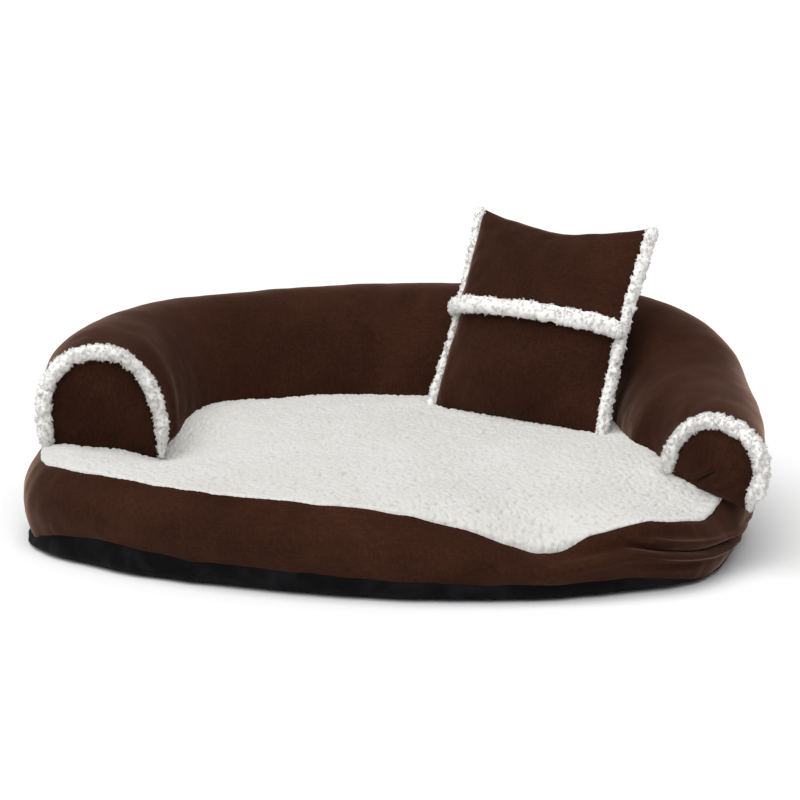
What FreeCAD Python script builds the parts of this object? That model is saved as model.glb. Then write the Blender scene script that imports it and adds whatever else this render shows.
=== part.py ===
import FreeCAD, Part
import math
import os
import Sketcher
from FreeCAD import Placement, Rotation, Vector

# A small sofa-style pet bed. Its origin is on the floor at the middle of its box, +Z is up and
# the open front faces -Y. A stuffed oval base carries a U-shaped stuffed bolster, and a loose
# pillow leans on the back of the bolster. All sizes are millimetres and degrees.

DIMENSIONS = {
    # plan outline of the base: tangent arcs about its widest line
    "half_width": 254.0,
    "front_depth": 190.0,
    "back_depth": 216.0,
    "side_radius": 300.0,
    "front_radius": 420.0,
    "back_radius": 330.0,
    "front_corner": 90.0,
    "back_corner": 130.0,
    # base: heights of its seams, roundings and thickness of its panels
    "base_height": 62.0,
    "black_height": 13.0,
    "band_top": 50.0,
    "bottom_round": 15.0,
    "top_round": 11.0,
    "fabric": 1.5,
    "sherpa": 6.0,
    # bolster: a D section that follows the outline round the back and both arms
    "bolster_inset": 1.0,
    "bolster_width": 90.0,
    "bolster_height": 74.0,
    "bolster_round": 39.0,
    # arm ends: how far the middle of each slanting face is out and in front, and its toe-in
    "arm_end_x": 203.0,
    "arm_end_y": 54.0,
    "arm_turn": 31.0,
    # each arm's end: a sewn D panel inside a roll of sherpa trim
    "trim_width": 15.0,
    "trim_depth": 13.0,
    "trim_round": 5.5,
    # pillow: its own frame has X across, Y through and Z up its height, from its lower edge
    "pillow_width": 138.0,
    "pillow_height": 148.0,
    "pillow_depth": 42.0,
    "pillow_round": 18.0,
    "flap_drop": 62.0,
    "flap_trim_height": 15.0,
    "flap_trim_depth": 9.0,
    "flap_trim_round": 4.0,
    "side_trim_width": 10.0,
    "side_trim_depth": 16.0,
    "side_trim_round": 4.5,
    "side_trim_end": 8.0,
    # pillow: where it stands on the seat
    "pillow_x": 74.0,
    "pillow_y": 46.0,
    "pillow_z": 65.2,
    "pillow_tilt": 24.0,
    "pillow_turn": 26.0,
}

START, END, CENTRE = 1, 2, 3
ORIGIN = (-1, START)
FAR = "400"
TOLERANCE = 0.01

doc = FreeCAD.newDocument("pet_bed")


def make_sheet():
    sheet = doc.addObject("Spreadsheet::Sheet", "dims")
    for row, (name, value) in enumerate(DIMENSIONS.items(), start=1):
        sheet.set(f"A{row}", name)
        sheet.set(f"B{row}", str(value))
        sheet.setAlias(f"B{row}", name)
    doc.recompute()
    return sheet


dims = make_sheet()


# ---- sketches and features ------------------------------------------------------------------

def new_body(name):
    body = doc.addObject("PartDesign::Body", name)
    body.Label = name
    return body


def new_sketch(body, plane_role, height=None):
    """A sketch on one of the body's own origin planes, raised along the plane's normal."""
    plane = next(item for item in body.Origin.OriginFeatures if item.Role == plane_role)
    sketch = body.newObject("Sketcher::SketchObject", body.Name + "_sketch")
    sketch.AttachmentSupport = [(plane, "")]
    sketch.MapMode = "FlatFace"
    if height:
        sketch.setExpression("AttachmentOffset.Base.z", height)
    return sketch


def constrain(sketch, kind, *targets):
    sketch.addConstraint(Sketcher.Constraint(kind, *targets))


def bind(sketch, kind, targets, value, formula):
    """A dimension of the sketch that a formula of the sheet's cells drives."""
    index = sketch.addConstraint(Sketcher.Constraint(kind, *targets, value))
    sketch.setExpression(f"Constraints[{index}]", formula)


def add_line(sketch, start, end):
    return sketch.addGeometry(Part.LineSegment(start, end), False)


def add_circle_arc(sketch, centre, radius, start, end):
    """An arc counterclockwise between two angles."""
    circle = Part.Circle(centre, Vector(0, 0, 1), radius)
    return sketch.addGeometry(Part.ArcOfCircle(circle, start, end), False)


def bridge(sketch, first, second):
    """A straight line between two open ends, each given as (geometry, point)."""
    line = add_line(sketch, sketch.getPoint(*first), sketch.getPoint(*second))
    constrain(sketch, "Coincident", line, START, *first)
    constrain(sketch, "Coincident", line, END, *second)
    return line


def pad(body, sketch, length):
    feature = body.newObject("PartDesign::Pad", body.Name + "_pad")
    feature.Profile = sketch
    feature.setExpression("Length", length)
    doc.recompute()
    return feature


def fillet(body, base, picks, radius):
    """Round the edges that a test picks out."""
    names = [f"Edge{i}" for i, edge in enumerate(base.Shape.Edges, start=1) if picks(edge)]
    feature = body.newObject("PartDesign::Fillet", base.Name + "_fillet")
    feature.Base = (base, names)
    feature.setExpression("Radius", radius)
    doc.recompute()
    return feature


def rounded_block(name, low, high, radius, picks):
    """A box between two corners, each given as formulas of the sheet's cells, with rounded edges."""
    body = new_body(name)
    box = body.newObject("PartDesign::AdditiveBox", name + "_box")
    place_block(box, low, high)
    fillet(body, box, picks, radius)
    return body


def place_block(box, low, high):
    for axis, size, lower, upper in zip("xyz", ("Length", "Width", "Height"), low, high):
        box.setExpression(size, f"({upper}) - ({lower})")
        box.setExpression(f"Placement.Base.{axis}", lower)
    doc.recompute()


def block(name, low, high):
    box = doc.addObject("Part::Box", name)
    place_block(box, low, high)
    return box


def cut(name, base, tool):
    feature = doc.addObject("Part::Cut", name)
    feature.Label = name
    feature.Base = base
    feature.Tool = tool
    doc.recompute()
    return feature


def common(name, first, second):
    feature = doc.addObject("Part::Common", name)
    feature.Label = name
    feature.Base = first
    feature.Tool = second
    doc.recompute()
    return feature


def level(edge, height):
    """Whether an edge lies flat at a height."""
    return all(abs(vertex.Z - height) < TOLERANCE for vertex in edge.Vertexes)


def curved(edge):
    return isinstance(edge.Curve, Part.Circle)


# ---- plan outline ---------------------------------------------------------------------------

WIDEST_Y = (dims.front_depth - dims.back_depth) / 2
SIDE = Vector(dims.half_width - dims.side_radius, WIDEST_Y, 0)
FRONT = Vector(0, WIDEST_Y - dims.front_depth + dims.front_radius, 0)
BACK = Vector(0, WIDEST_Y + dims.back_depth - dims.back_radius, 0)

# the same centres as distances from the origin
SIDE_X = "dims.side_radius - dims.half_width"
SIDE_Y = "(dims.back_depth - dims.front_depth) / 2"
FRONT_Y = f"dims.front_radius - dims.front_depth - {SIDE_Y}"
BACK_Y = f"dims.back_radius - dims.back_depth + {SIDE_Y}"


def corner_centre(end_centre, end_radius, corner):
    """Centre of a right-hand corner arc that is tangent to the side arc and to an end arc."""
    to_side = dims.side_radius - corner
    to_end = end_radius - corner
    span = end_centre - SIDE
    along = (to_side ** 2 - to_end ** 2 + span.Length ** 2) / (2 * span.Length)
    across = math.sqrt(to_side ** 2 - along ** 2)
    unit = span / span.Length
    rightwards = Vector(abs(unit.y), -unit.x * math.copysign(1, unit.y), 0)
    return SIDE + unit * along + rightwards * across


def heading(start, end):
    return math.atan2(end.y - start.y, end.x - start.x)


FRONT_CORNER = corner_centre(FRONT, dims.front_radius, dims.front_corner)
BACK_CORNER = corner_centre(BACK, dims.back_radius, dims.back_corner)
FRONT_TO_CORNER = heading(FRONT, FRONT_CORNER)
BACK_TO_CORNER = heading(BACK, BACK_CORNER)
SIDE_TO_FRONT = heading(SIDE, FRONT_CORNER)
SIDE_TO_BACK = heading(SIDE, BACK_CORNER)

# each arc is (centre, alias of its radius, start angle, end angle)
FRONT_ARC = (FRONT, "front_radius", -math.pi - FRONT_TO_CORNER, FRONT_TO_CORNER)
FRONT_CORNER_ARC = (FRONT_CORNER, "front_corner", FRONT_TO_CORNER, SIDE_TO_FRONT)
SIDE_ARC = (SIDE, "side_radius", SIDE_TO_FRONT, SIDE_TO_BACK)
BACK_CORNER_ARC = (BACK_CORNER, "back_corner", SIDE_TO_BACK, BACK_TO_CORNER)
BACK_ARC = (BACK, "back_radius", BACK_TO_CORNER, math.pi - BACK_TO_CORNER)


def mirrored(arc):
    """The left-hand arc that matches a right-hand one, still counterclockwise."""
    centre, radius, start, end = arc
    return Vector(-centre.x, centre.y, 0), radius, math.pi - end, math.pi - start


def draw_chain(sketch, arcs, inset_value, inset):
    """Tangent arcs set in from the outline, each with its radius bound to the sheet."""
    numbers = []
    for centre, alias, start, end in arcs:
        radius = DIMENSIONS[alias] - inset_value
        index = add_circle_arc(sketch, centre, radius, start, end)
        bind(sketch, "Radius", (index,), radius, f"dims.{alias} - ({inset})")
        numbers.append(index)
    for this, following in zip(numbers, numbers[1:]):
        constrain(sketch, "Tangent", this, END, following, START)
    return numbers


def fix_centres(sketch, right_side, back, left_side):
    """The side arcs' centres lie beyond the middle, and the back arc's is on the middle line."""
    bind(sketch, "DistanceX", (right_side, CENTRE, *ORIGIN), -SIDE.x, SIDE_X)
    bind(sketch, "DistanceX", (*ORIGIN, left_side, CENTRE), -SIDE.x, SIDE_X)
    for side in (right_side, left_side):
        bind(sketch, "DistanceY", (side, CENTRE, *ORIGIN), -SIDE.y, SIDE_Y)
    constrain(sketch, "DistanceX", *ORIGIN, back, CENTRE, 0.0)
    bind(sketch, "DistanceY", (back, CENTRE, *ORIGIN), -BACK.y, BACK_Y)


def draw_oval(sketch, inset_value, inset):
    """The whole outline, counterclockwise from the front arc."""
    right = [FRONT_CORNER_ARC, SIDE_ARC, BACK_CORNER_ARC]
    left = [mirrored(arc) for arc in reversed(right)]
    numbers = draw_chain(sketch, [FRONT_ARC, *right, BACK_ARC, *left], inset_value, inset)
    front, _, right_side, _, back, _, left_side, last = numbers
    constrain(sketch, "Tangent", last, END, front, START)
    constrain(sketch, "DistanceX", *ORIGIN, front, CENTRE, 0.0)
    bind(sketch, "DistanceY", (*ORIGIN, front, CENTRE), FRONT.y, FRONT_Y)
    fix_centres(sketch, right_side, back, left_side)


TOE_IN = math.radians(dims.arm_turn)


def arm_end(inset):
    """Where a right-hand side arc set in from the outline meets the arm's slanting end face."""
    point = Vector(dims.arm_end_x, -dims.arm_end_y, 0) - SIDE
    outwards = Vector(math.cos(TOE_IN), -math.sin(TOE_IN), 0)
    along = point.dot(outwards)
    across_squared = point.dot(point) - along ** 2
    reach = math.sqrt((dims.side_radius - inset) ** 2 - across_squared)
    return SIDE + point + outwards * (reach - along)


def draw_rail(sketch, inset_value, inset):
    """One edge of the bolster's plan, counterclockwise from the right arm's end to the left's."""
    start = heading(SIDE, arm_end(inset_value))
    right = [(SIDE, "side_radius", start, SIDE_TO_BACK), BACK_CORNER_ARC]
    left = [mirrored(arc) for arc in reversed(right)]
    numbers = draw_chain(sketch, [*right, BACK_ARC, *left], inset_value, inset)
    right_side, _, back, _, left_side = numbers
    fix_centres(sketch, right_side, back, left_side)
    return (right_side, START), (left_side, END)


def draw_arm_end(sketch, first, second, side):
    """The slanting line from left to right across an arm, turned about the middle of its face."""
    line = bridge(sketch, first, second)
    middle = Vector(side * dims.arm_end_x, -dims.arm_end_y, 0)
    point = sketch.addGeometry(Part.Point(middle), True)
    span = (*ORIGIN, point, START) if side > 0 else (point, START, *ORIGIN)
    bind(sketch, "DistanceX", span, dims.arm_end_x, "dims.arm_end_x")
    bind(sketch, "DistanceY", (point, START, *ORIGIN), dims.arm_end_y, "dims.arm_end_y")
    constrain(sketch, "PointOnObject", point, START, line)
    bind(sketch, "Angle", (line,), -side * TOE_IN, f"{-side} * dims.arm_turn")


def draw_bolster_plan(sketch, skin_value, skin):
    """The U between two rails, closed by the slanting ends of the arms."""
    inner_inset = dims.bolster_inset + dims.bolster_width - skin_value
    inner_formula = f"dims.bolster_inset + dims.bolster_width - {skin}"
    outer = draw_rail(sketch, dims.bolster_inset + skin_value, f"dims.bolster_inset + {skin}")
    inner = draw_rail(sketch, inner_inset, inner_formula)
    draw_arm_end(sketch, inner[0], outer[0], 1)
    draw_arm_end(sketch, outer[1], inner[1], -1)


# ---- base -----------------------------------------------------------------------------------

def oval_form(name, inset_value, inset):
    """The base's stuffed shape, or the same shape set in from it by a thickness all round."""
    body = new_body(name)
    sketch = new_sketch(body, "XY_Plane", inset)
    draw_oval(sketch, inset_value, inset)
    solid = pad(body, sketch, f"dims.base_height - 2 * ({inset})")
    top = dims.base_height - inset_value
    bottom_round = f"dims.bottom_round - ({inset})"
    top_round = f"dims.top_round - ({inset})"
    rounded = fillet(body, solid, lambda edge: level(edge, inset_value), bottom_round)
    fillet(body, rounded, lambda edge: level(edge, top), top_round)
    return body


def make_base():
    outside = oval_form("base_outside", 0.0, "0")
    inside = oval_form("base_inside", dims.fabric, "dims.fabric")
    under_pile = oval_form("base_under_pile", dims.sherpa, "dims.sherpa")
    skin = cut("base_skin", outside, inside)
    pile = cut("base_pile", outside, under_pile)
    low = f"-{FAR}", f"-{FAR}"
    lower_zone = block("lower_zone", (*low, "-1"), (FAR, FAR, "dims.black_height"))
    middle_zone = block("middle_zone", (*low, "dims.black_height"), (FAR, FAR, "dims.band_top"))
    upper_zone = block("upper_zone", (*low, "dims.band_top"), (FAR, FAR, "dims.base_height + 1"))
    seat = common("seat_top_panel", pile, upper_zone)
    return [
        common("base_bottom_panel", skin, lower_zone),
        common("base_side_band", skin, middle_zone),
        seat,
        cut("base_fill", inside, seat),
    ]


# ---- bolster --------------------------------------------------------------------------------

def bolster_form(name, skin_value, skin):
    body = new_body(name)
    sketch = new_sketch(body, "XY_Plane", f"dims.base_height + {skin}")
    draw_bolster_plan(sketch, skin_value, skin)
    solid = pad(body, sketch, f"dims.bolster_height - 2 * ({skin})")
    top = dims.base_height + dims.bolster_height - skin_value
    radius = f"dims.bolster_round - ({skin})"
    fillet(body, solid, lambda edge: level(edge, top) and curved(edge), radius)
    return body


def make_bolster():
    outside = bolster_form("bolster_outside", 0.0, "0")
    fill = bolster_form("bolster_fill", dims.fabric, "dims.fabric")
    return [cut("bolster_cover", outside, fill), fill]


# ---- arm ends -------------------------------------------------------------------------------

OUTER_END = arm_end(dims.bolster_inset)
INNER_END = arm_end(dims.bolster_inset + dims.bolster_width)
FACE_WIDTH = (OUTER_END - INNER_END).Length


def face_placement(side):
    """The frame of an arm's end: X across the face, Z up, and the face looks along -Y."""
    middle = (OUTER_END + INNER_END) / 2
    position = Vector(side * middle.x, middle.y, dims.base_height)
    return Placement(position, Rotation(Vector(0, 0, 1), -side * dims.arm_turn))


def draw_arch(sketch, inset_value, inset):
    """The sides and rounded top of a D set in from the face's outline, open at its foot."""
    half = FACE_WIDTH / 2 - inset_value
    top = dims.bolster_height - inset_value
    radius = dims.bolster_round - inset_value
    spring = top - radius
    centre_x = half - radius
    right = add_line(sketch, Vector(half, 0, 0), Vector(half, spring, 0))
    right_arc = add_circle_arc(sketch, Vector(centre_x, spring, 0), radius, 0, math.pi / 2)
    roof = add_line(sketch, Vector(centre_x, top, 0), Vector(-centre_x, top, 0))
    left_arc = add_circle_arc(sketch, Vector(-centre_x, spring, 0), radius, math.pi / 2, math.pi)
    left = add_line(sketch, Vector(-half, spring, 0), Vector(-half, 0, 0))
    chain = [right, right_arc, roof, left_arc, left]
    for this, following in zip(chain, chain[1:]):
        constrain(sketch, "Tangent", this, END, following, START)
    constrain(sketch, "Vertical", right)
    constrain(sketch, "Horizontal", roof)
    constrain(sketch, "Symmetric", right, START, left, END, *ORIGIN)
    bind(sketch, "DistanceX", (left, END, right, START), 2 * half, f"{FACE_WIDTH} - 2 * ({inset})")
    for arc in (right_arc, left_arc):
        bind(sketch, "Radius", (arc,), radius, f"dims.bolster_round - ({inset})")
    bind(sketch, "DistanceY", (*ORIGIN, roof, START), top, f"dims.bolster_height - ({inset})")
    return (right, START), (left, END)


def arm_panel(name, side):
    """The flat D panel sewn inside the trim."""
    body = new_body(name)
    sketch = new_sketch(body, "XZ_Plane")
    right_foot, left_foot = draw_arch(sketch, dims.trim_width, "dims.trim_width")
    bridge(sketch, left_foot, right_foot)
    pad(body, sketch, "dims.fabric")
    body.Placement = face_placement(side)
    return body


def arm_trim(name, side):
    """The roll of sherpa that runs up, over and down round the D panel."""
    body = new_body(name)
    sketch = new_sketch(body, "XZ_Plane")
    outer_feet = draw_arch(sketch, 0.0, "0")
    inner_feet = draw_arch(sketch, dims.trim_width, "dims.trim_width")
    for outer_foot, inner_foot in zip(outer_feet, inner_feet):
        bridge(sketch, outer_foot, inner_foot)
    solid = pad(body, sketch, "dims.trim_depth")
    fillet(body, solid, is_trim_rim, "dims.trim_round")
    body.Placement = face_placement(side)
    return body


def is_trim_rim(edge):
    """Whether an edge runs along the front of the trim, and not across its foot."""
    at_front = all(abs(vertex.Y + dims.trim_depth) < TOLERANCE for vertex in edge.Vertexes)
    return at_front and not level(edge, 0)


def make_arm_ends():
    pieces = []
    for side, label in ((-1, "left"), (1, "right")):
        pieces.append(arm_panel(f"{label}_arm_end_panel", side))
        pieces.append(arm_trim(f"{label}_arm_trim", side))
    return pieces


# ---- pillow ---------------------------------------------------------------------------------

def pillow_placement():
    """Leaning back in the bolster's right-hand corner, turned towards the middle of the seat."""
    tilt = Rotation(Vector(1, 0, 0), -dims.pillow_tilt)
    turn = Rotation(Vector(0, 0, 1), -dims.pillow_turn)
    position = Vector(dims.pillow_x, dims.pillow_y, dims.pillow_z)
    return Placement(position, turn * tilt)


def pillow_form(name, skin):
    """The pillow's stuffed shape, or the same shape set in from it by a thickness all round."""
    half_width = "dims.pillow_width / 2"
    half_depth = "dims.pillow_depth / 2"
    low = f"-({half_width} - ({skin}))", f"-({half_depth} - ({skin}))", skin
    high = f"{half_width} - ({skin})", f"{half_depth} - ({skin})", f"dims.pillow_height - ({skin})"
    return rounded_block(name, low, high, f"dims.pillow_round - ({skin})", lambda edge: True)


def make_pillow():
    outside = pillow_form("pillow_outside", "0")
    inside = pillow_form("pillow_inside", "dims.fabric")
    flap_outside = pillow_form("pillow_flap_outside", "-dims.fabric")
    skin = cut("pillow_skin", outside, inside)
    flap_skin = cut("pillow_flap_skin", flap_outside, outside)
    flap_edge = "dims.pillow_height - dims.flap_drop"
    low = f"-{FAR}"
    front_zone = block("front_zone", (low, low, low), (FAR, "0", FAR))
    back_zone = block("back_zone", (low, "0", low), (FAR, FAR, FAR))
    half_flap = "dims.pillow_width / 2 - dims.fabric"
    flap_zone = block("flap_zone", (f"-({half_flap})", low, flap_edge), (half_flap, "0", FAR))
    return [
        pillow_form("pillow_fill", "dims.fabric"),
        common("pillow_front_panel", skin, front_zone),
        common("pillow_back_panel", skin, back_zone),
        common("pillow_flap", flap_skin, flap_zone),
        pillow_flap_trim(flap_edge),
        pillow_side_trim("pillow_left_trim", -1),
        pillow_side_trim("pillow_right_trim", 1),
    ]


def pillow_flap_trim(flap_edge):
    """The roll of sherpa along the flap's lower edge."""
    half = "dims.pillow_width / 2 - dims.pillow_round"
    face = "-dims.pillow_depth / 2"
    low = f"-({half})", f"{face} - dims.flap_trim_depth", f"{flap_edge} - dims.flap_trim_height"
    high = half, face, flap_edge
    front = -dims.pillow_depth / 2 - dims.flap_trim_depth

    def picks(edge):
        return all(abs(vertex.Y - front) < TOLERANCE for vertex in edge.Vertexes)

    return rounded_block("pillow_flap_trim", low, high, "dims.flap_trim_round", picks)


def pillow_side_trim(name, side):
    """The roll of sherpa in a side seam."""
    near = "dims.pillow_width / 2"
    far = f"{near} + dims.side_trim_width"
    half_depth = "dims.side_trim_depth / 2"
    across = (near, far) if side > 0 else (f"-({far})", f"-({near})")
    low = across[0], f"-{half_depth}", "dims.side_trim_end"
    high = across[1], half_depth, "dims.pillow_height - dims.side_trim_end"
    edge_x = side * (dims.pillow_width / 2 + dims.side_trim_width)

    def picks(edge):
        return all(abs(vertex.X - edge_x) < TOLERANCE for vertex in edge.Vertexes)

    return rounded_block(name, low, high, "dims.side_trim_round", picks)


# ---- assembly -------------------------------------------------------------------------------

def place(piece, placement):
    """Stand a piece of the pillow in the pillow's place."""
    piece.Placement = placement
    return piece


def check(pieces):
    for item in doc.Objects:
        if "Invalid" in item.State or "Error" in item.State:
            raise RuntimeError(f"{item.Name} failed: {item.State}")
    for piece in pieces:
        if piece.Shape.isNull() or not piece.Shape.isValid():
            raise RuntimeError(f"{piece.Label} has no valid shape")


def export(pieces):
    os.makedirs("parts", exist_ok=True)
    for piece in pieces:
        solids = piece.Shape.Solids
        print(f"{piece.Label}: {len(solids)} solid, {piece.Shape.Volume / 1000:.1f} cm3")
        piece.Shape.exportStep(f"parts/{piece.Label}.step")


bed_pieces = make_base() + make_bolster() + make_arm_ends()
pillow_pieces = [place(piece, pillow_placement()) for piece in make_pillow()]
doc.recompute()
check(bed_pieces + pillow_pieces)
export(bed_pieces + pillow_pieces)
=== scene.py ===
"""A small sofa-style pet bed: stuffed suede base and bolster, sherpa seat and trims, loose pillow.

Every piece is built in code round the CAD frame, in metres. The base's outline, the arms' end
faces and the pillow's stance are read from the CAD nodes, and the soft shapes are grids of
points between their seams, filled out, wrinkled and gathered by formulas.
"""
import math

import bpy
import numpy as np
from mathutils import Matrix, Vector, noise
from mathutils.bvhtree import BVHTree
from mathutils.geometry import delaunay_2d_cdt
from mathutils.kdtree import KDTree


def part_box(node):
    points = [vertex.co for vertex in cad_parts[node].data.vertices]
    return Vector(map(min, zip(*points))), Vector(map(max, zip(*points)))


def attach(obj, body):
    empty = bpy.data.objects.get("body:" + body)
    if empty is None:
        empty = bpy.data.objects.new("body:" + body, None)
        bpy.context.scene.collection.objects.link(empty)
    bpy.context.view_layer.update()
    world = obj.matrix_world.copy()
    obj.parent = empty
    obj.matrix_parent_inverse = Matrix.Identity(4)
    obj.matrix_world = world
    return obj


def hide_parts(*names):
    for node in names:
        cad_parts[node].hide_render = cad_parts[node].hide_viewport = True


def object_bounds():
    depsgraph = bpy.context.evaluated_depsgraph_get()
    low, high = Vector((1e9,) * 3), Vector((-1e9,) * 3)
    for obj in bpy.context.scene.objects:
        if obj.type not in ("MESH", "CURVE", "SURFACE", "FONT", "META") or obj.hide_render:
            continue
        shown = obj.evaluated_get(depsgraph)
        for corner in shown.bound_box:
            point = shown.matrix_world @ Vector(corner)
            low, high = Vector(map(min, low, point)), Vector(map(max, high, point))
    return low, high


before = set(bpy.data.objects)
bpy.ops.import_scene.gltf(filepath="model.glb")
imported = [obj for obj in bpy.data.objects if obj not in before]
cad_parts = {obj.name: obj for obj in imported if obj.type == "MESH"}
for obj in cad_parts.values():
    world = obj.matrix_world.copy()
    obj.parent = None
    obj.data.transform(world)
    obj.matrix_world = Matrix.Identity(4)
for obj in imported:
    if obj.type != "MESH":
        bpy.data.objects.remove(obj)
CAD_BOX = [list(corner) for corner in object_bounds()]
rng = np.random.default_rng(11)
MM = 0.001


# ---- reading the frame ----------------------------------------------------------------------

OUTLINE_RAYS = 2881
NORMAL_REACH = 0.004


def read_vectors(mesh, name):
    """A mesh's points or its normals, one to a row."""
    values = np.empty(len(mesh.vertices) * 3)
    mesh.vertices.foreach_get(name, values)
    return values.reshape(-1, 3)


def node_points(node):
    return read_vectors(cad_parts[node].data, "co")


def node_tree(node):
    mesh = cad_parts[node].data
    return BVHTree.FromPolygons(node_points(node).tolist(), [p.vertices[:] for p in mesh.polygons])


def node_centre(node):
    low, high = (np.array(corner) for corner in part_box(node))
    return (low + high) / 2


def node_axes(node):
    """A node's own directions, from the one in which it is longest to the thinnest."""
    points = node_points(node)
    return np.linalg.svd(points - points.mean(axis=0), full_matrices=False)[2]


def towards(direction, hint):
    """The direction or its opposite, whichever goes the hint's way."""
    return direction if np.dot(direction, hint) > 0 else -direction


def extent(node, direction):
    """How far a node reaches along a direction."""
    reach = node_points(node) @ direction
    return reach.max() - reach.min()


def travel_along(path):
    """How far along a path each of its points lies."""
    steps = np.linalg.norm(np.diff(path, axis=0), axis=1)
    return np.concatenate([[0], np.cumsum(steps)])


class Outline:
    """The base's plan outline, counterclockwise from straight ahead."""

    def __init__(self, node):
        tree = node_tree(node)
        height = node_centre(node)[2]
        angles = np.linspace(-math.pi / 2, 1.5 * math.pi, OUTLINE_RAYS)
        self.ring = np.array([self.hit(tree, angle, height) for angle in angles])
        self.travel = travel_along(self.ring)
        self.length = self.travel[-1]

    @staticmethod
    def hit(tree, angle, height):
        """Where a level ray from outside meets the node's wall."""
        ray = Vector((math.cos(angle), math.sin(angle), 0))
        point = tree.ray_cast(ray + Vector((0, 0, height)), -ray)[0]
        return np.array(point[:2])

    def at(self, share):
        """Points at shares of the way round."""
        travel = np.mod(share, 1.0) * self.length
        return np.stack([np.interp(travel, self.travel, self.ring[:, k]) for k in (0, 1)], axis=-1)

    def normals(self, share):
        """The outward directions there."""
        tangent = self.at(share + NORMAL_REACH) - self.at(share - NORMAL_REACH)
        outwards = np.stack([tangent[:, 1], -tangent[:, 0]], axis=1)
        return outwards / np.linalg.norm(outwards, axis=1, keepdims=True)

    def share_of(self, point):
        """How far round the outline a point lies nearest."""
        gap = np.linalg.norm(self.ring - np.asarray(point)[:2], axis=1)
        return self.travel[gap.argmin()] / self.length


# ---- numbers along curves -------------------------------------------------------------------

def smooth(value, low=0.0, high=1.0):
    t = np.clip((value - low) / (high - low), 0, 1)
    return t * t * (3 - 2 * t)


def unit(vectors):
    return vectors / np.linalg.norm(vectors, axis=-1, keepdims=True)


def lerp(a, b, t):
    return a + (b - a) * t


def curve_through(stations, values, at):
    """A smooth curve through a few stations."""
    stations = np.asarray(stations, float)
    values = np.asarray(values, float)
    slopes = np.gradient(values, stations, axis=0)
    index = np.clip(np.searchsorted(stations, at) - 1, 0, len(stations) - 2)
    span = stations[index + 1] - stations[index]
    t = (at - stations[index]) / span
    if values.ndim > 1:
        t, span = t[:, None], span[:, None]
    start, end = values[index], values[index + 1]
    rise, fall = slopes[index] * span, slopes[index + 1] * span
    return ((2 * t ** 3 - 3 * t ** 2 + 1) * start + (t ** 3 - 2 * t ** 2 + t) * rise
            + (3 * t ** 2 - 2 * t ** 3) * end + (t ** 3 - t ** 2) * fall)


def ripples(points, scale, seed=0.0):
    """Smooth noise from -1 to 1 at every point, with features about one scale across."""
    roughness, spacing, octaves = 1.0, 2.0, 2
    flat = points.reshape(-1, 3) / scale + seed
    values = [noise.fractal(Vector(p), roughness, spacing, octaves) for p in flat]
    return np.array(values).reshape(points.shape[:-1])


# ---- meshes ---------------------------------------------------------------------------------

def quads(rows, columns, closed=False):
    """The faces of a grid, row after row, whose rows may each close into a ring."""
    column = np.arange(columns if closed else columns - 1)
    r, c = np.meshgrid(np.arange(rows - 1), column, indexing="ij")
    r2, c2 = r + 1, (c + 1) % columns
    faces = np.stack([r * columns + c, r * columns + c2, r2 * columns + c2, r2 * columns + c], -1)
    return faces.reshape(-1, 4)


def ring_fill(start, count):
    """Faces across a small ring of points from one side to the other, to close it."""
    near = start + np.arange(count // 2 - 1)
    far = start + count - 1 - np.arange(count // 2 - 1)
    return np.stack([near, near + 1, far - 1, far], axis=1)


def make_object(name, points, faces, material):
    mesh = bpy.data.meshes.new(name)
    corners = [list(map(int, face)) for face in faces]
    mesh.from_pydata(np.asarray(points).reshape(-1, 3).tolist(), [], corners)
    mesh.validate()
    mesh.update()
    mesh.shade_smooth()
    obj = bpy.data.objects.new(name, mesh)
    bpy.context.scene.collection.objects.link(obj)
    mesh.materials.append(material)
    return obj


def get_points(obj):
    return read_vectors(obj.data, "co")


def set_points(obj, points):
    obj.data.vertices.foreach_set("co", np.asarray(points, float).ravel())
    obj.data.update()


def get_normals(obj):
    return read_vectors(obj.data, "normal")


def apply_subdivision(obj):
    """Round the piece off with one level of subdivision, applied to its mesh."""
    modifier = obj.modifiers.new("Smooth", "SUBSURF")
    modifier.levels = 1
    modifier.render_levels = 1
    depsgraph = bpy.context.evaluated_depsgraph_get()
    mesh = bpy.data.meshes.new_from_object(obj.evaluated_get(depsgraph))
    obj.modifiers.clear()
    obj.data = mesh
    mesh.shade_smooth()


def finish_piece(obj, body, nodes):
    """Tell the frame which body a piece rides on and the nodes that it shows."""
    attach(obj, body)
    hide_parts(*nodes)


# ---- the base's shape -----------------------------------------------------------------------

OUTLINE_COUNT = 400
TOP_SEAM_INSET = 10 * MM
BLACK_SEAM_INSET = 3 * MM
BACK_TOP_SEAM = 57 * MM
BACK_BLACK_SEAM = 15 * MM
SEAM_PULL = 7 * MM
SEAM_WOBBLE = 0.8 * MM
HALF_WIDTH = CAD_BOX[1][0]

# Both seams along the front, from the left arm to the right: place in half widths, height in mm.
FRONT_SEAM = [(-1.0, 57), (-0.72, 62), (-0.4, 61.5), (-0.1, 61), (0.15, 57), (0.34, 46),
              (0.52, 31), (0.67, 41), (0.8, 46), (0.92, 40), (1.0, 36)]
BLACK_SEAM = [(-1.0, 6), (-0.91, 7), (-0.86, 12), (-0.8, 17), (-0.73, 19), (-0.66, 21), (-0.58, 20),
              (-0.45, 18), (-0.15, 17), (0.1, 15), (0.35, 13), (0.6, 12), (0.75, 12), (0.84, 9),
              (0.9, 5), (1.0, 5)]

outline = Outline("base_side_band")


def across_base(points):
    """From -1 at the left arm to 1 at the right arm."""
    return points[..., 0] / HALF_WIDTH


def at_front(points):
    """From 0 at the middle of the base and behind it to 1 along its front."""
    return smooth(-points[..., 1], 0.02, 0.11)


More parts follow.
